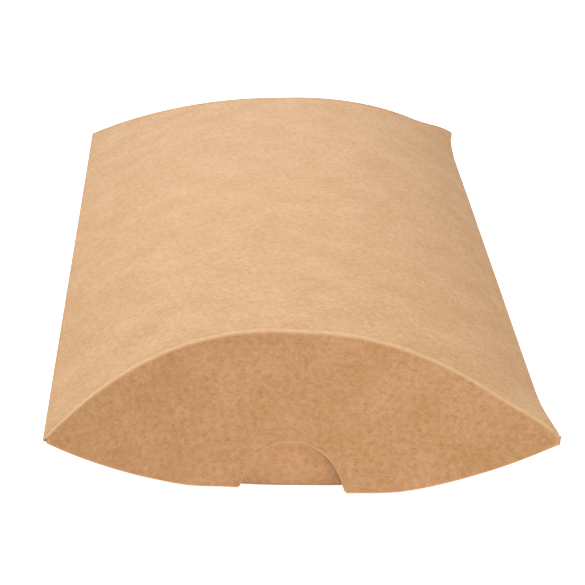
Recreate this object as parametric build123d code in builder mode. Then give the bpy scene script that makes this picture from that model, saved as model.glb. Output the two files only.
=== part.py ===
from build123d import *
import math
import os

# A pillow box of kraft board: two bowed panels, folded along one side and glued along the
# other, closed at each end by an outer flap with a thumb notch over an inner flap.
# Millimetres, +Z up. The origin is on the table below the middle of the box. The photographed
# end looks towards -Y, and the glued seam is on the +X side.

# Driving dimensions of the closed box
box_length = 160.0
box_width = 80.0
crown = 13.6
crown_flat = 5.0
board = 0.45

# Closure flaps
flap_lean = 5.0
flap_gap = 0.6
hinge_gap = 0.2
free_edge_lift = 0.3
notch_width = 16.2
notch_depth = 9.2
notch_corner_radius = 1.2

# Folds
crease_width = 1.2
side_fold_width = 1.1
side_fold_radius = 0.4

# Glued seam
seam_inset = 1.1
seam_fold_width = 0.8
seam_fold_radius = 0.3
seam_end_margin = 18.0
flare_length = 15.0
glue_flap_width = 12.0
glue_flap_taper = 9.0
glue_film = 0.1
glue_film_clearance = 0.01
glue_line_width = 7.0
glue_line_end_margin = 14.0
glue_line_edge_margin = 1.2

# How far a cutting shape runs past what it cuts
overrun = 2.0

# Sizes that follow
half_width = box_width / 2
half_length = box_length / 2
half_flat = crown_flat / 2
height = 2 * crown
seam_edge = half_width - seam_inset
seam_fold_start = seam_edge - seam_fold_width
seam_fold_length = box_length - 2 * seam_end_margin
lean_rise = math.tan(math.radians(flap_lean))
inner_flap_setback = board + flap_gap
top_crease_setback = board + hinge_gap
bottom_crease_setback = inner_flap_setback + board + hinge_gap

# Sections look along the box, with local Y up for the top panel. Plans look down on one end,
# with local Y running into the box from the line between that end's corner tips.
section = Plane(origin=(0, 0, crown), x_dir=(1, 0, 0), z_dir=(0, -1, 0))
plans = {
    "front": Plane(origin=(0, -half_length, crown), x_dir=(1, 0, 0), z_dir=(0, 0, 1)),
    "rear": Plane(origin=(0, half_length, crown), x_dir=(1, 0, 0), z_dir=(0, 0, -1)),
}
inwards = {"front": 1, "rear": -1}


# A bow: a flat crown strip and two arcs tangent to it, over the line between its two ends.
def bow(rise, setback=0.0, side=1, skirt=0.0):
    run = half_width - half_flat
    arc_radius = (run**2 + rise**2) / (2 * rise)
    centre_depth = arc_radius - rise
    radius = arc_radius - setback
    reach = half_flat + math.sqrt(radius**2 - centre_depth**2)
    middle = (math.asin(centre_depth / radius) + math.pi / 2) / 2
    shoulder = half_flat + radius * math.cos(middle)
    shoulder_height = side * (radius * math.sin(middle) - centre_depth)
    top = side * (rise - setback)
    with BuildSketch() as region:
        with BuildLine():
            ThreePointArc((reach, 0), (shoulder, shoulder_height), (half_flat, top))
            Line((half_flat, top), (-half_flat, top))
            ThreePointArc((-half_flat, top), (-shoulder, shoulder_height), (-reach, 0))
            if skirt:
                Polyline((-reach, 0), (-reach, -skirt), (reach, -skirt), (reach, 0))
            else:
                Line((-reach, 0), (reach, 0))
        make_face()
    return region.sketch


# A bent sheet of the given thickness, as the strip between two bows.
def band(rise, outer_setback, thickness, side=1):
    with BuildSketch() as strip:
        add(bow(rise, outer_setback, side))
        add(bow(rise, outer_setback + thickness, side), mode=Mode.SUBTRACT)
    return strip.sketch


# One panel's bent board, up to where the side fold begins.
def panel_sheet(side):
    with BuildSketch() as sheet:
        add(band(crown, 0, board, side))
        with Locations((-half_width, 0)):
            Rectangle(2 * side_fold_width, height, mode=Mode.SUBTRACT)
    return sheet.sketch


# Everything outside a bowed end wall that stands the setback inside the flap's outer face.
def end_region(end, setback, leaning):
    rise = crown * (1 - lean_rise) if leaning else crown
    shift = inwards[end] * lean_rise if leaning else 0
    with BuildPart() as region:
        with BuildSketch(plans[end]):
            add(bow(rise, -setback, skirt=overrun))
        extrude(amount=height, dir=(0, shift, 1), both=True)
    return region.part


# The straight seam edge and its flares out to the corner tips, as what lies beyond them.
def beyond_seam_edge():
    flare_start = half_length - flare_length
    with BuildPart() as region:
        with BuildSketch(Plane.XY):
            with BuildLine():
                Line((seam_edge, -flare_start), (seam_edge, flare_start))
                TangentArc((seam_edge, flare_start), (half_width, half_length), tangent=(0, 1))
                Polyline(
                    (half_width, half_length),
                    (half_width + overrun, half_length),
                    (half_width + overrun, -half_length),
                    (half_width, -half_length),
                )
                TangentArc((seam_edge, -flare_start), (half_width, -half_length), tangent=(0, -1))
            make_face()
        extrude(amount=height)
    return region.part


trimmed_side = beyond_seam_edge()


def save(piece, name):
    piece.label = name
    export_step(piece, "parts/" + name + ".step")
    print(name, "volume", round(piece.volume, 1))


os.makedirs("parts", exist_ok=True)

# Top panel: its right edge is cut board that lies over the glue flap
with BuildPart() as top_panel:
    with BuildSketch(section):
        add(panel_sheet(1))
    extrude(amount=half_length, both=True)
    add(end_region("front", top_crease_setback + crease_width, True), mode=Mode.SUBTRACT)
    add(end_region("rear", top_crease_setback + crease_width, True), mode=Mode.SUBTRACT)
    add(trimmed_side, mode=Mode.SUBTRACT)
save(top_panel.part, "top_panel")

# Bottom panel: it lies on the table along its flat crown strip
with BuildPart() as bottom_panel:
    with BuildSketch(section):
        add(panel_sheet(-1))
    extrude(amount=half_length, both=True)
    add(end_region("front", bottom_crease_setback + crease_width, False), mode=Mode.SUBTRACT)
    add(end_region("rear", bottom_crease_setback + crease_width, False), mode=Mode.SUBTRACT)
    add(trimmed_side, mode=Mode.SUBTRACT)
    with BuildSketch(Plane.XY):
        with Locations((seam_fold_start, 0)):
            Rectangle(half_width, seam_fold_length, align=(Align.MIN, Align.CENTER))
    extrude(amount=crown, mode=Mode.SUBTRACT)
save(bottom_panel.part, "bottom_panel")

# Side fold: the board turned over on itself between the two panels
with BuildPart() as side_fold:
    with BuildSketch(section):
        add(band(crown, 0, board))
        add(band(crown, 0, board, side=-1))
        with Locations((-half_width, 0)):
            Rectangle(2 * side_fold_width, height, mode=Mode.INTERSECT)
        fillet(vertices().sort_by(Axis.X)[0], side_fold_radius)
    extrude(amount=half_length, both=True)
    add(end_region("front", bottom_crease_setback, False), mode=Mode.SUBTRACT)
    add(end_region("rear", bottom_crease_setback, False), mode=Mode.SUBTRACT)
save(side_fold.part, "side_fold")

# Seam fold: the pressed fold that turns the bottom panel into the glue flap
with BuildPart() as seam_fold:
    with BuildSketch(section):
        add(bow(crown, board + glue_film))
        add(bow(crown, side=-1))
        with Locations((seam_fold_start, 0)):
            Rectangle(
                seam_fold_width, height, align=(Align.MIN, Align.CENTER), mode=Mode.INTERSECT
            )
        fillet(vertices().group_by(Axis.X)[-1], seam_fold_radius)
    extrude(amount=seam_fold_length / 2, both=True)
save(seam_fold.part, "seam_fold")

# Glue flap: bent along under the top panel, its ends cut back so that they stay inside
with BuildPart() as glue_flap:
    with BuildSketch(section):
        add(band(crown, board + glue_film, board))
        with Locations((seam_fold_start, 0)):
            Rectangle(
                glue_flap_width, height, align=(Align.MAX, Align.CENTER), mode=Mode.INTERSECT
            )
    extrude(amount=seam_fold_length / 2, both=True)
    with BuildSketch(Plane.XY):
        inner_edge = seam_fold_start - glue_flap_width
        inner_end = seam_fold_length / 2 - glue_flap_taper
        Polygon(
            (seam_fold_start, -seam_fold_length / 2),
            (seam_fold_start, seam_fold_length / 2),
            (inner_edge, inner_end),
            (inner_edge, -inner_end),
            align=None,
        )
    extrude(amount=height, mode=Mode.INTERSECT)
save(glue_flap.part, "glue_flap")

# Glue line: the dried film between the glue flap and the top panel
with BuildPart() as glue_line:
    with BuildSketch(section):
        add(band(crown, board + glue_film_clearance, glue_film - 2 * glue_film_clearance))
        with Locations((seam_fold_start - glue_line_edge_margin, 0)):
            Rectangle(
                glue_line_width, height, align=(Align.MAX, Align.CENTER), mode=Mode.INTERSECT
            )
    extrude(amount=seam_fold_length / 2 - glue_line_end_margin, both=True)
save(glue_line.part, "glue_line")


# Creases along the bowed ends: the pressed strip of a panel that its flap bends about
def end_crease(end, side, setback, leaning):
    with BuildPart() as crease:
        with BuildSketch(section):
            add(panel_sheet(side))
        extrude(amount=inwards[end] * half_length)
        add(end_region(end, setback + crease_width, leaning), mode=Mode.INTERSECT)
        add(end_region(end, setback, leaning), mode=Mode.SUBTRACT)
        add(trimmed_side, mode=Mode.SUBTRACT)
    return crease.part


# Outer flap: hangs from the top panel's crease and leans out a little, as board springs back
def outer_flap(end):
    with BuildPart() as flap:
        with BuildSketch(plans[end]):
            add(band(crown * (1 - lean_rise), -board, board))
        extrude(amount=height, dir=(0, inwards[end] * lean_rise, 1), both=True)
        with BuildSketch(section):
            add(bow(crown))
            add(bow(crown, free_edge_lift, side=-1))
            with Locations((0, free_edge_lift - crown)):
                Ellipse(notch_width / 2, notch_depth, mode=Mode.SUBTRACT)
            fillet(vertices().group_by(Axis.Y)[0], notch_corner_radius)
        extrude(amount=half_length + overrun, both=True, mode=Mode.INTERSECT)
    return flap.part


# Inner flap: stands on the bottom panel's crease, close behind the outer flap
def inner_flap(end):
    with BuildPart() as flap:
        with BuildSketch(plans[end]):
            add(band(crown, -inner_flap_setback - board, board))
        extrude(amount=height, both=True)
        with BuildSketch(section):
            add(bow(crown, top_crease_setback))
            add(bow(crown, side=-1))
        extrude(amount=half_length + overrun, both=True, mode=Mode.INTERSECT)
    return flap.part


for end in inwards:
    save(end_crease(end, 1, top_crease_setback, True), end + "_top_crease")
    save(end_crease(end, -1, bottom_crease_setback, False), end + "_bottom_crease")
    save(outer_flap(end), end + "_outer_flap")
    save(inner_flap(end), end + "_inner_flap")
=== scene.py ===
# %% [markdown]
# A kraft pillow box. The real box is one die-cut sheet of brown board: two panels that bow apart
# when the box is squeezed open, and curved flaps that tuck over each other at both ends. The
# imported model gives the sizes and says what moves. This scene dresses it with finer surfaces.

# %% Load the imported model
import math

import bpy
import numpy as np
from mathutils import Matrix, Vector


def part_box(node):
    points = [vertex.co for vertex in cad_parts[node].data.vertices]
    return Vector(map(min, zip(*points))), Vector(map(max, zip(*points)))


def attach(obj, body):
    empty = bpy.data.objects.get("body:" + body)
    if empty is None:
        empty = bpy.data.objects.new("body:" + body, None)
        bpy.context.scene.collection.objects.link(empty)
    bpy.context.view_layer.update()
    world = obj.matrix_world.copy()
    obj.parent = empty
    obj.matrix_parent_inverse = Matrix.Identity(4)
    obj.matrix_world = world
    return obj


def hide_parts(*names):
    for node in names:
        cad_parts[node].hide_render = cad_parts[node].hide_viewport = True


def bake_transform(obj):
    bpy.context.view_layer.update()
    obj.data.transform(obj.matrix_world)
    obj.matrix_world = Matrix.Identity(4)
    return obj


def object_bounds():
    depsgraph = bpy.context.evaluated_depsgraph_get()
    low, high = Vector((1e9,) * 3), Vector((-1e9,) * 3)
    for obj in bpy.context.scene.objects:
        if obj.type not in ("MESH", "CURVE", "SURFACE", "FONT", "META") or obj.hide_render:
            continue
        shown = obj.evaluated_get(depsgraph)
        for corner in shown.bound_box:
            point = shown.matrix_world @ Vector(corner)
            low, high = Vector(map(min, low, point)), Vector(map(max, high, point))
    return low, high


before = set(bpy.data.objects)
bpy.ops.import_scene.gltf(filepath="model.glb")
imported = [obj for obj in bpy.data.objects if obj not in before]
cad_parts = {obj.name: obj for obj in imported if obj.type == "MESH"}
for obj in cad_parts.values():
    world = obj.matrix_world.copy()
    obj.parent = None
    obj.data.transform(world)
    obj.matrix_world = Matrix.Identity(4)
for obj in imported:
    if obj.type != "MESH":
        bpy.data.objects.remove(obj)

cad_low, cad_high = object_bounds()
print("the packed model spans", tuple(cad_low), tuple(cad_high))

# %% [markdown]
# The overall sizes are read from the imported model, so the surfaces here fall on its solids. The
# rest are board sizes in millimetres: how wide a fold is, how deep a crease is pressed, how
# much a cut edge is rounded. They are too fine for the solids, and they make the close look.

# %% Sizes
mm = 0.001
half_width = cad_high.x
half_length = cad_high.y
crown = cad_high.z / 2
half_flat = 2.5 * mm
board = 0.45 * mm
seam_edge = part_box("seam_fold")[1].x
seam_fold_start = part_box("seam_fold")[0].x
glue_flap_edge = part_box("glue_flap")[0].x
glue_line_low, glue_line_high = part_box("glue_line")
flare_length = 15 * mm
flare_start = half_length - flare_length
seam_tip_gap = 1 * mm
seam_fold_end = half_length - seam_tip_gap
seam_fold_width = seam_edge - seam_fold_start
inner_flap_setback = 1.05 * mm
inner_fullness = 0.912
free_edge_lift = 0.3 * mm
inner_edge_drop = 0.65 * mm
notch_half_width = 8.2 * mm
notch_depth = 8.68 * mm
lobe_radius = 0.8 * mm
lobe_reach = 9.0 * mm
ends = {"front": -1, "rear": 1}
print("half width, half length and crown in mm:", half_width / mm, half_length / mm, crown / mm)

# %% [markdown]
# ## The bow of a panel
# A panel of the box is a sheet bent one way only, so it never stretches. A point of the sheet
# keeps its distance across the board, measured along the bend, from the panel's middle line.
# Everything below is placed by that distance, which also keeps the paper's pattern unstretched.

# %% The bowed section
run = half_width - half_flat
arc_radius = (run**2 + crown**2) / (2 * crown)
half_across = half_flat + arc_radius * math.asin(run / arc_radius)


def section(across, depth=0.0):
    """Sideways place and rise of the bowed board, from the distance across it.

    Over the crown strip the board is straight. Beyond it the board follows an arc: the angle is
    the distance past the strip over the arc's radius, sideways adds radius times sine, and the
    rise is radius times cosine less what the radius exceeds the crown by. A depth below the
    outer face takes itself off the radius.
    """
    beyond = np.maximum(np.abs(across) - half_flat, 0)
    angle = beyond / arc_radius
    reach = np.minimum(np.abs(across), half_flat) + (arc_radius - depth) * np.sin(angle)
    rise = (arc_radius - depth) * np.cos(angle) - (arc_radius - crown)
    return np.sign(across) * reach, rise


def across_at(sideways):
    """Distance across the board at a sideways place: the inverse of the outer face's arc."""
    beyond = np.maximum(np.abs(sideways) - half_flat, 0)
    bent = np.minimum(np.abs(sideways), half_flat) + arc_radius * np.arcsin(beyond / arc_radius)
    return np.sign(sideways) * bent


print("arc radius and distance across half a panel in mm:", arc_radius / mm, half_across / mm)

# %% [markdown]
# ## Small departures of real board
# Board that has been pressed along a crease keeps a shallow trough beside the fold. Big faces
# are never true either: they have faint, broad waves from the paper's grain. Where the glued
# side ends, nothing holds the corner of the upper panel down, so it springs up a little.

# %% Trough, waves, skew and sprung corners
trough_depth = 0.05 * mm
trough_place = 1.0 * mm
trough_width = 0.3 * mm
wave_depth = 0.10 * mm
slow_across, slow_along = 11 * mm, 17 * mm
fine_across, fine_along, fine_drift = 5.3 * mm, 7.9 * mm, 41 * mm
skew_scale = 2.6
settled_reach = 60.0 * mm
settled = {"front": (0.15 * mm, -0.39 * mm), "rear": (0.75 * mm, 0.89 * mm)}
spring_rise = 1.7 * mm
spring_width = 10.0 * mm
spring_length = 20.0 * mm


def smooth(share):
    """Smooth step: three times the square less twice the cube of a share held between 0 and 1."""
    share = np.clip(share, 0, 1)
    return share * share * (3 - 2 * share)


def trough(distance):
    """Depth of the pressed trough at a distance from the fold: a bell curve about its place."""
    return trough_depth * np.exp(-(((distance - trough_place) / trough_width) ** 2))


def waves(across, along):
    """Depth of the broad waves: a product of two slow sines and a weaker one of two finer sines,
    shifted so that the board never stands proud."""
    slow = np.sin(across / slow_across + 2.1) * np.sin(along / slow_along + 0.6)
    fine = np.sin(across / fine_across - along / fine_drift) * np.sin(along / fine_along)
    return wave_depth * (0.5 + 0.35 * slow + 0.15 * fine)


def uneven(across, along):
    """How much higher the real upper bow stands than the true one.

    At each end of the box it has settled: the crown is a little lower, in proportion to the bow,
    and the bow leans to one side, by a cubic of the sideways place that is zero in the middle
    and at both sides. The skew scale makes the cubic's peak the skew itself. A smooth step along
    the box leads from the front end's values to the rear end's.
    """
    sideways, rise = section(across)
    sideways = sideways / half_width
    (front_drop, front_skew), (rear_drop, rear_skew) = settled["front"], settled["rear"]
    share = smooth((along + settled_reach) / (2 * settled_reach))
    drop = front_drop + (rear_drop - front_drop) * share
    skew = front_skew + (rear_skew - front_skew) * share
    return skew_scale * skew * sideways * (1 - sideways**2) - drop * rise / crown


def spring(points, share=1.0):
    """Lifts the upper board's corners on the seam side, by a smooth step across and one along.
    The share is how much of the lift a point takes part in."""
    sideways = smooth((points[..., 0] - (half_width - spring_width)) / spring_width)
    endways = smooth((np.abs(points[..., 1]) - (half_length - spring_length)) / spring_length)
    lifted = points.copy()
    lifted[..., 2] += spring_rise * sideways * endways * share
    return lifted


print("depth of the waves and the trough in mm:", wave_depth / mm, trough_depth / mm)

# %% [markdown]
# ## From the flat blank to the folded box
# A panel point needs two distances: across the board and along the box. An end flap hangs from
# a curved crease. Because the panel's bow and the flap's bow are the same curve, the crease lies
# in a plane at 45 degrees, and a flap point needs the distance across and the distance down
# from the crease.

# %% Panel and flap points
def crease_along(across, end, side):
    """Distance of the crease from the middle of the box: half the length less the bow's rise.
    The lower panel's crease starts a board's thickness further in, and is bowed a little less."""
    rise = section(across)[1]
    if side > 0:
        return half_length - rise - uneven(across, end * half_length)
    return half_length - inner_flap_setback - inner_fullness * rise


def panel_points(across, along, depth, side):
    """Points of a panel: the section gives sideways and up, and the distance along is as it is."""
    sideways, rise = section(across, depth)
    if side > 0:
        rise = rise + uneven(across, along)
    return np.stack(np.broadcast_arrays(sideways, along, crown + side * rise), axis=-1)


def flap_points(across, down, depth, end, side, lean):
    """Points of an end flap: it stands as far out as the crease, and hangs straight down from
    it, leaning out by a share of the way. The depth through the board goes inwards."""
    sideways, deeper = section(across, -depth)
    rise = section(across)[1]
    out = crease_along(across, end, side) - (deeper - rise) + lean * down
    if side > 0:
        rise = rise + uneven(across, end * half_length)
    return np.stack(np.broadcast_arrays(sideways, end * out, crown + side * (rise - down)), axis=-1)


def blank_points(across, along, side):
    """Place in the flat blank, for the paper's pattern. The lower panel lies beside the upper one,
    turned over about the side fold."""
    flat = across if side > 0 else -2 * half_across - across
    return np.stack(np.broadcast_arrays(flat, along), axis=-1)


middle_creases = [crease_along(0.0, end, side) / mm for end in ends.values() for side in (1, -1)]
print("the creases cross the middle line at, in mm:", middle_creases)

# %% [markdown]
# ## A closed piece of board
# Board has an outer face, an inner face and an edge all round. Two grids of points give the
# faces. The edge is joined on as four narrow strips, bulging slightly where the die cut it, so
# that it catches the light. Where one piece goes on as the next, the edge is left flat. Solidify
# would also give the board its thickness, but not an edge that differs from side to side.
# Each point also keeps three numbers for the material: its distance from the fold, its distance
# from a cut edge, and its depth through the board.

# %% Distances on a grid
far_away = 50 * mm


def step_lengths(points, axis):
    """Running length along one axis of a grid, from its first line, as a sum of steps."""
    steps = np.linalg.norm(np.diff(points, axis=axis), axis=-1)
    start = np.zeros_like(np.take(steps, [0], axis=axis))
    return np.concatenate([start, np.cumsum(steps, axis=axis)], axis=axis)


def cut_distances(points, cut_sides):
    """Distance of each grid point from the nearest cut side, along the grid's own lines."""
    down, right = step_lengths(points, 0), step_lengths(points, 1)
    sides = {
        "first_row": down,
        "last_row": down[-1:] - down,
        "first_column": right,
        "last_column": right[:, -1:] - right,
    }
    return np.min([sides[name] for name in cut_sides] + [np.full_like(down, far_away)], axis=0)


def rim(rows, columns):
    """Row and column numbers of a grid's outermost points, once round."""
    last_row, last_column = rows - 1, columns - 1
    row_parts = (
        np.zeros(columns),
        np.arange(1, rows),
        np.full(last_column, last_row),
        np.arange(last_row - 1, 0, -1),
    )
    column_parts = (
        np.arange(columns),
        np.full(last_row, last_column),
        np.arange(last_column - 1, -1, -1),
        np.zeros(last_row - 1),
    )
    return np.concatenate(row_parts).astype(int), np.concatenate(column_parts).astype(int)


print("the rim of a 3 by 4 grid has", len(rim(3, 4)[0]), "points")

# %% Points and faces of a closed piece
edge_bulge = 0.05 * mm
edge_shares = ((0.16, 0.75), (0.5, 1.0), (0.84, 0.75))
edge_rings = len(edge_shares)


def edge_points(outer, inner, row, column, cut_sides):
    """Rings of points round the edge: each is a share of the way from the outer face's rim to the
    inner one's, and stands out from the board by its bulge where the edge is cut."""
    rows, columns = outer.shape[:2]
    towards = outer[np.clip(row, 1, rows - 2), np.clip(column, 1, columns - 2)]
    outwards = outer[row, column] - towards
    outwards = outwards / np.maximum(np.linalg.norm(outwards, axis=-1, keepdims=True), 1e-9)
    is_cut = (
        ((row == 0) & ("first_row" in cut_sides))
        | ((row == rows - 1) & ("last_row" in cut_sides))
        | ((column == 0) & ("first_column" in cut_sides))
        | ((column == columns - 1) & ("last_column" in cut_sides))
    )
    return [
        outer[row, column] * (1 - share) + inner[row, column] * share
        + outwards * (edge_bulge * bulge * is_cut)[:, None]
        for share, bulge in edge_shares
    ]


def closed_faces(vertices, grid, row, column):
    """Corners of every face, outer, inner and edge, and which of the three each one is. All are
    turned round together if they would face inwards."""
    face = np.stack([grid[:-1, :-1], grid[:-1, 1:], grid[1:, 1:], grid[1:, :-1]], -1).reshape(-1, 4)
    back = face[:, ::-1] + grid.size
    loops = [grid[row, column]]
    loops += [2 * grid.size + ring * len(row) + np.arange(len(row)) for ring in range(edge_rings)]
    loops += [grid[row, column] + grid.size]
    edge = np.concatenate([
        np.stack([np.roll(one, -1), one, two, np.roll(two, -1)], -1)
        for one, two in zip(loops, loops[1:])
    ])
    faces = np.concatenate([face, back, edge])
    corner = vertices[faces]
    normal = np.cross(corner[:, 2] - corner[:, 0], corner[:, 3] - corner[:, 1])
    if np.sum(corner.mean(axis=1) * normal) < 0:
        faces = faces[:, ::-1]
    return faces, np.repeat([0, 1, 2], [len(face), len(back), len(edge)])


print("an edge has", edge_rings, "rings of points between its faces")

# %% Build a closed piece of board
sharp_angle = math.radians(50)


def closed_board(name, outer, inner, blank, fold, cut_sides, materials):
    """A closed mesh between two grids of points, with the blank's places as its UV map. Its
    materials are those of the outer face, the inner face and the edge."""
    rows, columns = outer.shape[:2]
    row, column = rim(rows, columns)
    rings = edge_points(outer, inner, row, column, cut_sides)
    vertices = np.concatenate([outer.reshape(-1, 3), inner.reshape(-1, 3), *rings])
    grid = np.arange(rows * columns).reshape(rows, columns)
    faces, kinds = closed_faces(vertices, grid, row, column)

    mesh = bpy.data.meshes.new(name)
    mesh.from_pydata(vertices.tolist(), [], faces.tolist())
    mesh.polygons.foreach_set("material_index", kinds.astype(np.int32))
    mesh.polygons.foreach_set("use_smooth", np.ones(len(faces), bool))

    def on_all(values):
        """The grid points' values, repeated for both faces and for the rings of the edge."""
        both_faces = [values.reshape(grid.size, -1)] * 2
        on_rings = [values[row, column].reshape(len(row), -1)] * edge_rings
        return np.concatenate(both_faces + on_rings)

    used = np.empty(len(mesh.loops), np.int32)
    mesh.loops.foreach_get("vertex_index", used)
    flat = on_all(blank)[used].astype(np.float32)
    mesh.uv_layers.new(name="blank").data.foreach_set("uv", flat.ravel())

    depths = [np.full(len(row), share) for share, bulge in edge_shares]
    values = {
        "fold": on_all(fold),
        "cut": on_all(cut_distances(outer, cut_sides)),
        "depth": np.concatenate([np.zeros(grid.size), np.ones(grid.size), *depths]),
    }
    for attribute, value in values.items():
        stored = mesh.attributes.new(attribute, "FLOAT", "POINT")
        stored.data.foreach_set("value", value.astype(np.float32).ravel())
    for material in materials:
        mesh.materials.append(material)
    mesh.set_sharp_from_angle(angle=sharp_angle)
    mesh.validate()
    piece = bpy.data.objects.new(name, mesh)
    bpy.context.scene.collection.objects.link(piece)
    print(name, "has", len(faces), "faces")
    return piece


# %% [markdown]
# ## Shader sums
# A material is a recipe of nodes. Writing sums in Python keeps the recipe readable, so one small
# class wraps a socket and gives it the plain operators.

# %% A socket that can be added up
class Wire:
    """A shader value: arithmetic on it adds the Math node that does the sum."""

    def __init__(self, recipe, socket):
        self.recipe = recipe
        self.socket = socket

    def math(self, operation, *values):
        """Adds one Math node that works on these values."""
        return self.recipe.node("ShaderNodeMath", {"operation": operation}, dict(enumerate(values)))

    def __add__(self, other):
        return self.math("ADD", self, other)

    def __radd__(self, other):
        return self.math("ADD", other, self)

    def __sub__(self, other):
        return self.math("SUBTRACT", self, other)

    def __rsub__(self, other):
        return self.math("SUBTRACT", other, self)

    def __mul__(self, other):
        return self.math("MULTIPLY", self, other)

    def __rmul__(self, other):
        return self.math("MULTIPLY", other, self)

    def __truediv__(self, other):
        return self.math("DIVIDE", self, other)


class Recipe:
    """The nodes of one material, or of the world."""

    def __init__(self, holder, shader="Principled BSDF"):
        holder.use_nodes = True
        self.tree = holder.node_tree
        self.shader = self.tree.nodes[shader]

    def node(self, kind, settings, inputs, output=0):
        """Adds a node: its settings first, then its inputs, and returns one of its outputs."""
        made = self.tree.nodes.new(kind)
        for name, value in settings.items():
            setattr(made, name, value)
        self.fill(made, inputs)
        return Wire(self, made.outputs[output])

    def fill(self, made, inputs):
        """Gives a node's sockets their links or plain values."""
        for name, value in inputs.items():
            if isinstance(value, Wire):
                self.tree.links.new(value.socket, made.inputs[name])
            else:
                made.inputs[name].default_value = value

    def mix(self, factor, one, two):
        """Colour that goes from one to two as the factor goes from 0 to 1."""
        return self.node("ShaderNodeMix", {"data_type": "RGBA"}, {0: factor, 6: one, 7: two}, 2)

    def ramp(self, value, low, high):
        """0 below low, 1 above high and smooth in between."""
        settings = {"interpolation_type": "SMOOTHSTEP"}
        inputs = {0: value, 1: low, 2: high, 3: 0.0, 4: 1.0}
        return self.node("ShaderNodeMapRange", settings, inputs)

    def larger(self, one, two):
        """The larger of two values."""
        return self.node("ShaderNodeMath", {"operation": "MAXIMUM"}, {0: one, 1: two})

    def attribute(self, name):
        """One of the numbers that every point of the board keeps, as a value."""
        return self.node("ShaderNodeAttribute", {"attribute_name": name}, {}, 2)

    def relief(self, height, strength):
        """A bumped normal from a height that is a share of the relief's depth."""
        inputs = {"Height": height, "Strength": strength, "Distance": relief_depth}
        return self.node("ShaderNodeBump", {}, inputs)


relief_depth = 0.05 * mm
print("a full step of relief is", relief_depth / mm, "mm high")

# %% [markdown]
# ## Kraft board
# Kraft paper is unbleached wood pulp. Up close it has clouds, where the pulp settled thicker, a
# fine grain, and many short fibres, dark and pale, lying every way. The pattern is made in
# millimetres of the flat blank, so it follows each fold, and stays on a flap that moves. An
# image of paper would show its tiling and its pixels, so noise is used for all of it.

# %% The paper's pattern
def paper(recipe, seed):
    """Noise-made clouds, grain and fibres on the blank's millimetres, each from 0 to 1."""
    blank = recipe.node("ShaderNodeUVMap", {"uv_map": "blank"}, {})
    place = recipe.node("ShaderNodeMapping", {}, {
        "Vector": blank, "Location": (seed, 3.7 * seed, 0), "Scale": (1 / mm, 1 / mm, 1 / mm),
    })

    def noise(scale, detail, across=1.0, along=1.0):
        """Cloudy noise, squeezed by a factor across the board and another along it."""
        factors = {0: place, 1: (across, along, 1)}
        squeezed = recipe.node("ShaderNodeVectorMath", {"operation": "MULTIPLY"}, factors)
        inputs = {"Vector": squeezed, "Scale": scale, "Detail": detail, "Roughness": 0.6}
        return recipe.node("ShaderNodeTexNoise", {}, inputs)

    def fibres(angle, length, width, share):
        """Thin cells of a stretched, slightly bent cell pattern. Only some cells hold a fibre."""
        slow = {"Vector": place, "Scale": 0.5, "Detail": 1}
        drift = recipe.node("ShaderNodeTexNoise", {}, slow, 1)
        added = {0: drift, 1: (1.6, 1.6, 0), 2: place}
        bent = recipe.node("ShaderNodeVectorMath", {"operation": "MULTIPLY_ADD"}, added)
        turned = recipe.node("ShaderNodeMapping", {"vector_type": "TEXTURE"}, {
            "Vector": bent, "Rotation": (0, 0, math.radians(angle)), "Scale": (length, width, 1),
        })
        cells = {"voronoi_dimensions": "2D"}
        near = recipe.node("ShaderNodeTexVoronoi", cells, {"Vector": turned, "Scale": 1.0})
        chance = recipe.node("ShaderNodeTexVoronoi", cells, {"Vector": turned, "Scale": 1.0}, 1)
        picked = recipe.node("ShaderNodeSeparateColor", {}, {0: chance})
        held = recipe.ramp(picked, 1 - share, 1.02 - share)
        return (1 - recipe.ramp(near, 0.12, 0.42)) * held

    # Each kind of fibre: its angle in degrees, its length and width in mm, and its share of cells
    dark = fibres(12, 1.6, 0.17, 0.34) + fibres(-38, 1.1, 0.14, 0.3) + fibres(68, 0.9, 0.15, 0.28)
    pale = fibres(-8, 1.3, 0.16, 0.3) + fibres(41, 1.0, 0.14, 0.28) + fibres(-71, 0.9, 0.14, 0.25)
    return {
        "clouds": noise(0.12, 3),
        "mottle": noise(0.9, 3),
        "grain": noise(4.5, 2),
        "streaks": noise(0.6, 2, across=0.12, along=2.2),
        "dark": dark,
        "pale": pale,
    }


# %% Board faces
# What each mark does to the base colour's red, green and blue, as factors
cloudy = ((0.86, 0.80, 0.66), (1.10, 1.17, 1.36))
grainy, streaked = (0.64, 0.56, 0.44), (1.2, 1.28, 1.45)
dark_fibre, pale_fibre = (0.42, 0.36, 0.32), (1.25, 1.34, 1.5)
# Pale tint along folds and cut edges: partly real rubbing of the board, partly a painted highlight
# where they catch light.
worn_and_highlit = (1.28, 1.5, 1.95)
# Where a rub or a nick, with its painted highlight, begins to fade and where it has gone, in mm
# from the fold or the cut
rubbed_and_highlit_reach = (0.2, 0.7)
nicked_and_highlit_reach = (0.03, 0.32)


def tinted(base, factors):
    """The base colour with each channel multiplied by its factor, and full alpha."""
    return tuple(np.minimum(np.array(base) * factors, 1)) + (1,)


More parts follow.
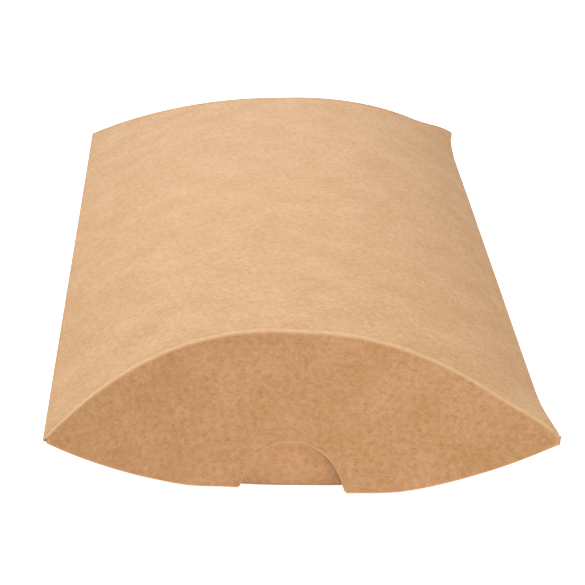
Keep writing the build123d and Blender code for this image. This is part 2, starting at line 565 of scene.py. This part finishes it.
def kraft(name, base, seed, wear_and_highlight=1.0, rough=0.74):
    """Matte kraft board: the base colour is clouded, then the grain, the streaks and the two kinds
    of fibre are laid over it, and it pales near folds and along cut edges, partly from real rubbing
    and nicks, partly as a painted highlight where they catch the light."""
    material = bpy.data.materials.new(name)
    recipe = Recipe(material)
    look = paper(recipe, seed)
    clouds = recipe.ramp(look["clouds"] * 0.45 + look["mottle"] * 0.55, 0.3, 0.7)
    body = recipe.mix(clouds, *[tinted(base, factors) for factors in cloudy])
    for amount, factors in (
        (recipe.ramp(look["grain"], 0.35, 0.8) * 0.22, grainy),
        (recipe.ramp(look["streaks"], 0.5, 0.75) * 0.16, streaked),
        (look["dark"] * 0.30, dark_fibre),
        (look["pale"] * 0.26, pale_fibre),
    ):
        body = recipe.mix(amount, body, tinted(base, factors))

    # Paler near folds and cut edges: partly real rubbing, partly a painted highlight where the fold
    # and the edge catch light.
    off_fold = recipe.ramp(recipe.attribute("fold") / mm, *rubbed_and_highlit_reach)
    off_cut = recipe.ramp(recipe.attribute("cut") / mm, *nicked_and_highlit_reach)
    rubbed_and_highlit = (1 - off_fold) * (0.6 + 0.4 * look["mottle"]) * (0.75 * wear_and_highlight)
    nicked_and_highlit = (1 - off_cut) * 0.6
    body = recipe.mix(recipe.larger(rubbed_and_highlit, nicked_and_highlit), body, tinted(base, worn_and_highlit))

    height = look["grain"] * 0.5 + look["mottle"] * 0.5 + look["pale"] * 0.6 - look["dark"] * 0.5
    recipe.fill(recipe.shader, {
        "Base Color": body,
        "Roughness": rough + 0.08 * (look["mottle"] - 0.5) - 0.08 * rubbed_and_highlit,
        "Normal": recipe.relief(height, 0.35),
    })
    return material


outer_paper = kraft("board_face", (0.535, 0.288, 0.122), seed=1.0)
# A paler copy of the face paper, painted light for the front inner flap: it lifts the shade that
# flap sits in behind the notch.
shade_lifted_paper = kraft("board_face_painted_lighter", (0.70, 0.40, 0.188), seed=1.0, wear_and_highlight=0.6)
inner_paper = kraft("board_back", (0.49, 0.28, 0.13), seed=2.0, wear_and_highlight=0.4, rough=0.82)
print("board faces:", outer_paper.name, shade_lifted_paper.name, inner_paper.name)

# %% [markdown]
# ## Cut edges and glue
# The die cuts through every layer of the pulp, so the edge of the board is greyer and rougher
# than its faces. The glue between flap and panel is a thin, yellowish, slightly glossy film. It
# is hidden in the closed box, and shows only when the box is taken apart.

# %% Cut edges and dried glue
def cut_core(name, base):
    """The cut edge of the board: greyer pulp in thin layers, read from the depth and the grain."""
    material = bpy.data.materials.new(name)
    recipe = Recipe(material)
    look = paper(recipe, 4.0)
    layers = {"W": recipe.attribute("depth"), "Scale": 9.0}
    layer = recipe.node("ShaderNodeTexNoise", {"noise_dimensions": "1D"}, layers)
    body = recipe.mix(recipe.ramp(layer, 0.35, 0.65), tinted(base, 0.8), tinted(base, 1.12))
    body = recipe.mix(recipe.ramp(look["grain"], 0.4, 0.7) * 0.4, body, tinted(base, 0.7))
    recipe.fill(recipe.shader, {
        "Base Color": body,
        "Roughness": 0.9,
        "Normal": recipe.relief(look["grain"], 0.6),
    })
    return material


def dried_glue(name):
    """Dried white glue: yellowish, partly glossy, with thin and thick patches."""
    material = bpy.data.materials.new(name)
    recipe = Recipe(material)
    look = paper(recipe, 9.0)
    body = recipe.mix(look["mottle"], (0.62, 0.52, 0.38, 1), (0.78, 0.72, 0.60, 1))
    recipe.fill(recipe.shader, {"Base Color": body, "Roughness": 0.35 + 0.2 * look["grain"]})
    return material


core = cut_core("board_core", (0.46, 0.31, 0.19))
glue = dried_glue("dried_glue")
board_papers = [outer_paper, inner_paper, core]
print("cut edge and glue:", core.name, glue.name)

# %% [markdown]
# ## The two panels
# Each panel is one bowed sheet. Its ends follow the curved creases, so the grid's rows bend to
# meet them, and they crowd together near the ends where the pressed trough is. On the right
# the sheet ends at the glued seam, and flares out to the corner tips.

# %% Panels
side_fold_width = 0.5 * mm
seam_step = 0.3 * mm
crease_strip = 1.2 * mm
upper_tip_gap, lower_tip_gap = 0.12 * mm, 1.15 * mm
panel_rows, panel_columns = 181, 111


def seam_line(along, side):
    """Sideways place of the seam side: straight, then a cubic flare to the corner tip."""
    flare = np.clip((np.abs(along) - flare_start) / flare_length, 0, 1)
    tip = half_width - (upper_tip_gap if side > 0 else lower_tip_gap)
    return seam_edge + (tip - seam_edge) * flare**3


def seam_side(along):
    """Where the lower panel's edge meets the seam fold. Along comes in as if the panel's rows
    ran straight to the tips. It goes out shortened as they are, by the share of half the length
    that the crease leaves, with the distance across beside it."""
    across = across_at(seam_line(along, -1) - seam_fold_width)
    return across, along / half_length * (crease_along(across, np.sign(along), -1) - crease_strip)


def right_edge(along, side):
    """Distance across the board at the seam side. The lower panel leaves the seam fold its width,
    except at the tips."""
    edge = seam_line(along, side)
    if side < 0:
        edge = edge - seam_fold_width * smooth((seam_fold_end - np.abs(along)) / seam_step)
    return across_at(edge)


def panel(name, side, cut_sides):
    """One bowed panel, from the crease strip at the front to the one at the rear."""
    up = np.sin(np.linspace(-math.pi / 2, math.pi / 2, panel_rows))[:, None]
    right = right_edge(up * half_length, side)
    left = -(half_across - side_fold_width)
    across = left + (right - left) * np.linspace(0, 1, panel_columns)[None, :]
    from_crease = crease_along(across, np.sign(up), side)
    along = up * (from_crease - crease_strip)
    fold = np.minimum(from_crease - np.abs(along), across + half_across)
    sunk = trough(from_crease - np.abs(along)) + waves(across, along)
    outer = panel_points(across, along, sunk, side)
    inner = panel_points(across, along, sunk + board, side)
    if side > 0:
        outer, inner = spring(outer), spring(inner)
    blank = blank_points(across, along, side)
    return closed_board(name, outer, inner, blank, fold, cut_sides, board_papers)


top_panel = panel("top_panel_board", 1, ["last_column"])
bottom_panel = panel("bottom_panel_board", -1, ["last_column"])
for piece, node in ((top_panel, "top_panel"), (bottom_panel, "bottom_panel")):
    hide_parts(node)
    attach(piece, "shell")

# %% [markdown]
# ## The curved creases
# At the crease the board turns from panel to flap round a very small radius. A fold is well
# drawn by a curve with one control point: it leaves the panel flat, arrives at the flap flat,
# and the control point is where the two faces would have met in a sharp line.

# %% End creases
fold_reach = 0.5 * mm
low_rise = 0.5 * mm
lean_middle = 28 * mm
lean_corner_start, lean_corner_width = 18 * mm, 20 * mm
strip_rows, fold_rows = 12, 13


def reach_at(across):
    """How far the rounding of the fold reaches: less near the tips, where the flap is low."""
    rise = section(across)[1]
    return fold_reach * rise / (rise + low_rise)


def lean_at(across, lean):
    """Lean of a flap, from its left value to its right value by a smooth step past the middle,
    and from there to its value at the right corner by a second step."""
    left, right, corner = lean
    leaning = left + (right - left) * smooth((across + lean_middle / 2) / lean_middle)
    return leaning + (corner - right) * smooth((across - lean_corner_start) / lean_corner_width)


def folded(panel_side, corner, flap_side):
    """Points round the fold: the panel point times (1-s) squared, plus the corner times 2s(1-s),
    plus the flap point times s squared."""
    turn = np.linspace(0, 1, fold_rows)[:, None, None]
    return (1 - turn) ** 2 * panel_side + 2 * turn * (1 - turn) * corner + turn**2 * flap_side


def end_crease(name, end, side, lean, columns=121):
    """The pressed strip of the panel and the fold into the flap, as one curved piece."""
    right = right_edge(half_length, side)
    across = np.linspace(-(half_across - side_fold_width), right, columns)[None, :]
    reach = reach_at(across)
    share = np.linspace(1, 0, strip_rows)[:, None]
    distance = reach + (crease_strip - reach) * share
    along = crease_along(across, end, side)
    fading = smooth((distance - reach) / crease_strip)

    def layer(depth):
        sunk = depth + waves(across, end * (along - distance)) * fading
        strip = panel_points(across, end * (along - distance), sunk + trough(distance), side)
        start = panel_points(across, end * (along - reach), depth, side)
        finish = flap_points(across, reach, depth, end, side, lean_at(across, lean))
        corner = (start + finish) / 2
        corner[..., 1] = finish[..., 1]
        corner[..., 2] = start[..., 2]
        return np.concatenate([strip[:-1], folded(start[0], corner[0], finish[0])])

    outer, inner = layer(0.0), layer(board)
    turn = np.linspace(-1, 1, fold_rows)[:, None]
    fold = np.concatenate([distance[:-1], np.abs(turn) * reach])
    blank_along = np.concatenate([along - distance[:-1], along + turn * reach])
    blank = blank_points(np.broadcast_to(across, fold.shape), end * blank_along, side)
    if side > 0:
        outer, inner = spring(outer), spring(inner)
    cut_sides = ["last_column"]
    return closed_board(name, outer, inner, blank, fold, cut_sides, board_papers)


# Leans are shares of the way down: left, right of the middle, and at the right corner
outer_lean = {"front": (0.114, 0.178, 0.125), "rear": (0.10, 0.08, 0.08)}
inner_lean = (-0.05, -0.05, -0.05)
for end_name, end in ends.items():
    upper = end_crease(end_name + "_top_crease_board", end, 1, outer_lean[end_name])
    lower = end_crease(end_name + "_bottom_crease_board", end, -1, inner_lean)
    for piece, node in ((upper, end_name + "_top_crease"), (lower, end_name + "_bottom_crease")):
        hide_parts(node)
        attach(piece, "shell")

# %% [markdown]
# ## The end flaps
# The outer flap's free edge is cut to the curve of the lower panel, with a thumb notch in its
# middle and a rounded lobe on each side of the notch. The grid's columns fan out from the
# crease to that outline, so the notch is cut exactly and no face is split. The flap that shows
# through the front notch sits in shade behind the outer flap, so its paper is painted paler,
# a painted light that makes up for that shade.

# %% Flap outlines
left_gap, right_gap = 0.95 * mm, 0.3 * mm
free_steps, corner_steps, notch_steps = 70, 11, 34
plain_steps = 159
crowding = 1.5


def half_outline(tip, lobe_rise):
    """One side of the notched edge, from its tip to the notch's top, as places and heights. The
    places run by a power of the share of the way, so they crowd together at the tip."""
    turn = np.linspace(0, math.pi / 2, corner_steps)[1:]
    lobe_end = notch_half_width + lobe_radius
    free = tip - (tip - lobe_end) * np.linspace(0, 1, free_steps) ** crowding
    free = np.concatenate([free, lobe_end - lobe_radius * np.sin(turn)])
    raised = lobe_rise * smooth((lobe_end + lobe_reach - free) / lobe_reach)
    raised[-len(turn):] += lobe_radius * (1 - np.cos(turn))
    free_height = raised + free_edge_lift - section(across_at(free))[1]
    edge_height = free_edge_lift - crown
    start = math.asin((free_height[-1] - edge_height) / notch_depth)
    climb = np.linspace(start, math.pi / 2, notch_steps)[1:]
    sideways = np.concatenate([free, notch_half_width * np.cos(climb)])
    return sideways, np.concatenate([free_height, edge_height + notch_depth * np.sin(climb)])


def notched_outline(slide, left_rise, right_rise):
    """Free edge of the outer flap as sideways places and heights: the lower panel's bow, a little
    higher near the notch, a quarter circle round each lobe's corner, then a quarter of an
    ellipse up to the notch's top. The board has slid sideways by the slide in the middle, and
    less towards the corners."""
    left, left_height = half_outline(half_width - left_gap, left_rise)
    right, right_height = half_outline(half_width - right_gap, right_rise)
    sideways = np.concatenate([-left, right[-2::-1]])
    height = np.concatenate([left_height, right_height[-2::-1]])
    return sideways + slide * (1 - (sideways / half_width) ** 2), height


def plain_outline():
    """Free edge of the inner flap: just under the upper panel, with no notch."""
    reach = half_width - lower_tip_gap
    sideways = np.linspace(-reach, reach, plain_steps)
    return sideways, inner_edge_drop - section(across_at(sideways))[1]


print("points on the free edges:", len(notched_outline(0, 0, 0)[0]), len(plain_outline()[0]))


# %% Build a flap
held_share = 0.8


def flap(name, end, side, lean, outline):
    """An end flap: each column runs from the crease to its point of the outline. The inner face
    stops a board's thickness short, so that at the free edge both faces are as far from the
    crease's 45-degree plane, and turn alike when the flap opens. At the free edge the board
    holds back most of the corner's spring."""
    sideways, height = outline
    edge_across = across_at(sideways)
    edge_down = section(edge_across)[1] - height + uneven(edge_across, end * half_length)
    length = np.concatenate([[0], np.cumsum(np.hypot(np.diff(sideways), np.diff(height)))])
    crease_across = edge_across[0] + (edge_across[-1] - edge_across[0]) * length / length[-1]
    crease_down = reach_at(crease_across)
    share = np.array([0.0, 1.0])[:, None]
    across = crease_across + (edge_across - crease_across) * share
    down = crease_down + (edge_down - crease_down) * share
    hang = lean_at(across, lean)
    outer = flap_points(across, down, 0.0, end, side, hang)
    inner_down = np.maximum(down - board * share, crease_down)
    inner = flap_points(across, inner_down, board, end, side, hang)
    if side > 0:
        sprung = 1 - held_share * share
        outer, inner = spring(outer, sprung), spring(inner, sprung)
    blank = blank_points(across, end * (crease_along(across, end, side) + down), side)
    cut_sides = ["last_row", "first_column", "last_column"]
    # Painted light: the front inner flap sits in shade behind the notch and gets the paler copy of
    # the face paper.
    face = shade_lifted_paper if name.startswith("front_inner") else outer_paper
    return closed_board(name, outer, inner, blank, down, cut_sides, [face, inner_paper, core])


# %% [markdown]
# A flap of real board bends as it opens: its crease stays where it is and the free edge swings.
# A flap has no points between its crease and its free edge, so it stays straight from one to the
# other, as bent board does.

# %% Bake the flaps' placement
outer_bend = 13.2 * mm
inner_bend = 21.0 * mm


def bend_with(piece, end, setback, bend):
    """Bakes a flap's transform into its mesh. The crease plane's start is worked out, but the flap
    is not blended to a body.
    """
    start = (0, end * (half_length - setback), crown)
    step = bend / math.sqrt(2)
    start[1] - end * step
    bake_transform(piece)


# How far each free edge is cut off true: the middle's slide, and the left and right lobes' rise
cut = {"front": (-0.9 * mm, 0.6 * mm, 0.5 * mm), "rear": (0.0, 0.3 * mm, 0.3 * mm)}
for end_name, end in ends.items():
    outline = notched_outline(*cut[end_name])
    outer_flap = flap(end_name + "_outer_flap_board", end, 1, outer_lean[end_name], outline)
    inner_flap = flap(end_name + "_inner_flap_board", end, -1, inner_lean, plain_outline())
    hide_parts(end_name + "_outer_flap")
    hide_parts(end_name + "_inner_flap")
    bend_with(outer_flap, end, 0, outer_bend)
    bend_with(inner_flap, end, inner_flap_setback, inner_bend)

# %% [markdown]
# ## The side fold and the glued seam
# On the left the sheet simply turns over. On the right the lower panel folds back inside the
# box as a narrow flap, which is glued under the upper panel's cut edge. The seam fold keeps the
# same width all along and follows the flare, and it stops just short of the corner tips.

# %% Side fold
def side_fold(name, columns=161):
    """The board turned over between the panels: the upper point times (1-s) squared, plus the
    sharp side's point times 2s(1-s), plus the lower point times s squared."""
    along = np.sin(np.linspace(-math.pi / 2, math.pi / 2, columns))[None, :]
    across = -(half_across - side_fold_width)
    upper_end = crease_along(across, np.sign(along), 1)
    lower_end = crease_along(across, np.sign(along), -1)
    turn = np.linspace(0, 1, fold_rows)[:, None]
    reach = (upper_end + (lower_end - upper_end) * turn) * along

    def layer(depth):
        top = panel_points(across, reach, depth, 1)
        bottom = panel_points(across, reach, depth, -1)
        tip = panel_points(-half_across, reach, depth, 1)
        tip[..., 2] = crown
        bend = turn[..., None]
        return (1 - bend) ** 2 * top + 2 * bend * (1 - bend) * tip + bend**2 * bottom

    fold = np.abs(2 * turn - 1) * side_fold_width + 0 * along
    flat = across - 2 * side_fold_width * turn + 0 * along
    blank = np.stack([flat, reach], axis=-1)
    cut_sides = ["first_column", "last_column"]
    return closed_board(name, layer(0.0), layer(board), blank, fold, cut_sides, board_papers)


fold_piece = side_fold("side_fold_board")
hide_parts("side_fold")
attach(fold_piece, "shell")

# %% Seam fold
glue_film = 0.1 * mm
seam_slope = 0.55 * mm
curve_reach = 0.75


def seam_fold(name, columns=81, rows=17):
    """The fold at the seam: a cubic curve out to the edge and back in under the upper panel. It
    reaches three quarters of the way to its two control points, so they stand out by the
    fold's width over that share."""
    place = seam_fold_end * np.sin(np.linspace(-math.pi / 2, math.pi / 2, columns))[None, :]
    across, along = seam_side(place)
    turn = np.linspace(0, 1, rows)[:, None]

    def layer(depth):
        low = panel_points(across, along, depth, -1)
        high = panel_points(across, along, board + glue_film + depth, 1)
        out = np.array([(seam_fold_width - depth) / curve_reach, 0, 0])
        slope = np.array([0, 0, seam_slope])
        bend = turn[..., None]
        return (
            (1 - bend) ** 3 * low
            + 3 * bend * (1 - bend) ** 2 * (low + out + slope)
            + 3 * bend**2 * (1 - bend) * (high + out - slope)
            + bend**3 * high
        )

    outer, inner = layer(0.0), layer(board)
    fold = np.abs(2 * turn - 1) * seam_fold_width + 0 * along
    flat = -2 * half_across - across - 2 * seam_fold_width * turn
    blank = np.stack([flat, along + 0 * turn], axis=-1)
    cut_sides = ["first_column", "last_column"]
    return closed_board(name, outer, inner, blank, fold, cut_sides, board_papers)


# %% Glue flap and glue
glue_flap_taper = 22 * mm
glue_wander = 0.3 * mm
glue_wave, glue_drift = 3.1 * mm, 7.7 * mm
glue_clearance = 0.01 * mm


def glue_flap(name, rows=41, columns=121):
    """The glued flap: bent along under the upper panel, narrower towards its ends."""
    share = np.linspace(0, 1, rows)[:, None]
    outer_edge, along = seam_side(np.linspace(-1, 1, columns)[None, :] * seam_fold_end)
    along = along * (1 - glue_flap_taper / seam_fold_end * share)
    across = outer_edge + (across_at(glue_flap_edge) - outer_edge) * share
    outer = panel_points(across, along, board + glue_film, 1)
    inner = panel_points(across, along, 2 * board + glue_film, 1)
    fold = outer_edge - across
    blank = np.stack([-3 * half_across - fold, along], axis=-1)
    cut_sides = ["last_row", "first_column", "last_column"]
    return closed_board(name, outer, inner, blank, fold, cut_sides, board_papers)


def glue_strip(name, rows=9, columns=81):
    """The dried glue: a thin film between the flap and the upper panel, whose two long edges
    wander by a product of two sines."""
    low, high = across_at(glue_line_low.x), across_at(glue_line_high.x)
    along = np.linspace(glue_line_low.y, glue_line_high.y, columns)[None, :]
    wander = glue_wander * np.sin(along / glue_wave) * np.sin(along / glue_drift + 1)
    share = np.linspace(0, 1, rows)[:, None]
    across = low + glue_wander + wander + (high - low - 2 * glue_wander) * share
    outer = panel_points(across, along, board + glue_clearance, 1)
    inner = panel_points(across, along, board + glue_film - glue_clearance, 1)
    blank = np.stack([across, along + 0 * across], axis=-1)
    return closed_board(name, outer, inner, blank, 0 * across + far_away, [], [glue, glue, glue])


for piece, node, slot in (
    (seam_fold("seam_fold_board"), "seam_fold", "kraft_fold"),
    (glue_flap("glue_flap_board"), "glue_flap", "kraft_back"),
    (glue_strip("glue_line_film"), "glue_line", "dried_glue"),
):
    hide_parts(node)
    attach(piece, "shell")

# %% [markdown]
# ## Floor and light
# The box lies on a white sheet that the camera sees as pure white. A soft lamp hangs close above
# the near left, which is why the panel pales from right to left. A warmer one fills in the
# front, a big one behind gives the top its haze, and a faint room light lifts the shade. Area
# lamps were chosen because they give the soft shadows of a photographer's light box.

# %% Floor
floor_reach, floor_paint, floor_glow = 4.0, 0.9, 0.9
camera_ray, glossy_ray, clear_ray = 0, 3, 6


def background_seen(recipe):
    """1 for a ray that sees the background from the camera, in a gloss or through something
    clear, and 0 for a ray that only gathers light."""
    camera, glossy, clear = [
        recipe.node("ShaderNodeLightPath", {}, {}, output)
        for output in (camera_ray, glossy_ray, clear_ray)
    ]
    return recipe.larger(recipe.larger(camera, glossy), clear)


def white_floor():
    """A wide pale plane. The camera sees it lit from itself, and a little of the box's shadow."""
    corners = np.array([(-1, -1, 0), (1, -1, 0), (1, 1, 0), (-1, 1, 0)]) * floor_reach
    mesh = bpy.data.meshes.new("floor")
    mesh.from_pydata(corners.tolist(), [], [(0, 1, 2, 3)])
    paint = bpy.data.materials.new("floor_white")
    recipe = Recipe(paint)
    recipe.fill(recipe.shader, {"Base Color": (floor_paint,) * 3 + (1,), "Roughness": 0.9})
    painted = Wire(recipe, recipe.shader.outputs[0])
    white = {"Color": (1, 1, 1, 1), "Strength": floor_glow}
    glow = recipe.node("ShaderNodeEmission", {}, white)
    both = recipe.node("ShaderNodeAddShader", {}, {0: glow, 1: painted})
    layers = {0: background_seen(recipe), 1: painted, 2: both}
    mixed = recipe.node("ShaderNodeMixShader", {}, layers)
    recipe.fill(recipe.tree.nodes["Material Output"], {"Surface": mixed})
    mesh.materials.append(paint)
    floor = bpy.data.objects.new("floor", mesh)
    bpy.context.scene.collection.objects.link(floor)
    print("the floor reaches", floor_reach, "m each way")


white_floor()

# %% World and lamps
def room(strength):
    """An even world: its light on the box has the given strength. The camera and the shine of
    the board see it white."""
    world = bpy.data.worlds.new("room")
    bpy.context.scene.world = world
    recipe = Recipe(world, "Background")
    level = strength + (1 - strength) * background_seen(recipe)
    recipe.fill(recipe.shader, {"Color": (1, 1, 1, 1), "Strength": level})


def lamp(name, place, aim, size, power, colour):
    """A square soft lamp at a place, aimed at a point, in metres and watts."""
    light = bpy.data.lights.new(name, "AREA")
    light.size = size
    light.energy = power
    light.color = colour
    holder = bpy.data.objects.new(name, light)
    holder.location = place
    holder.rotation_euler = (Vector(place) - Vector(aim)).to_track_quat("Z", "Y").to_euler()
    bpy.context.scene.collection.objects.link(holder)
    print(name, "lamp:", power, "W")


room(0.08)
lamp("overhead", (-0.14, -0.09, 0.60), (0, 0, 0), 0.5, 4.35, (0.915, 1.0, 1.0))
lamp("front_fill", (0.16, -1.1, 0.20), (0, -0.08, 0.01), 0.6, 5.6, (1.0, 0.81, 0.745))
lamp("back", (-0.1, 1.80, 0.70), (0, 0, 0), 1.4, 24.5, (1.0, 1.0, 1.0))

# %% [markdown]
# ## Camera
# The camera stands where the photograph was taken from: a little left of the middle, looking
# down by about 21 degrees, and rolled by less than two. Its place, turn and lens were found by
# fitting the box's corners, its creases and its outline to the photograph.

# %% Camera
turn, tilt, roll = math.radians(2.819), math.radians(21.244), math.radians(1.794)
camera_place = (-17.10 * mm, -381.73 * mm, 156.23 * mm)
sensor_width, lens = 36, 133.59


def photo_camera():
    """A camera at the photograph's place. Forward comes from the turn and the tilt, and the roll
    turns right and up about it."""
    ahead = Vector((math.sin(turn), math.cos(turn), 0))
    forward = ahead * math.cos(tilt) - Vector((0, 0, math.sin(tilt)))
    level = Vector((math.cos(turn), -math.sin(turn), 0))
    upright = level.cross(forward)
    right = math.cos(roll) * level + math.sin(roll) * upright
    up = -math.sin(roll) * level + math.cos(roll) * upright
    data = bpy.data.cameras.new("camera")
    data.sensor_width = sensor_width
    data.lens = lens
    data.clip_start = 0.01
    camera = bpy.data.objects.new("camera", data)
    turned = Matrix((right, up, -forward)).transposed().to_4x4()
    camera.matrix_world = Matrix.Translation(camera_place) @ turned
    bpy.context.scene.collection.objects.link(camera)
    bpy.context.scene.camera = camera
    print("camera at", camera_place, "with a lens of", lens, "mm")


photo_camera()
bpy.context.scene.view_settings.view_transform = "Standard"

# %% Update the scene
bpy.context.view_layer.update()
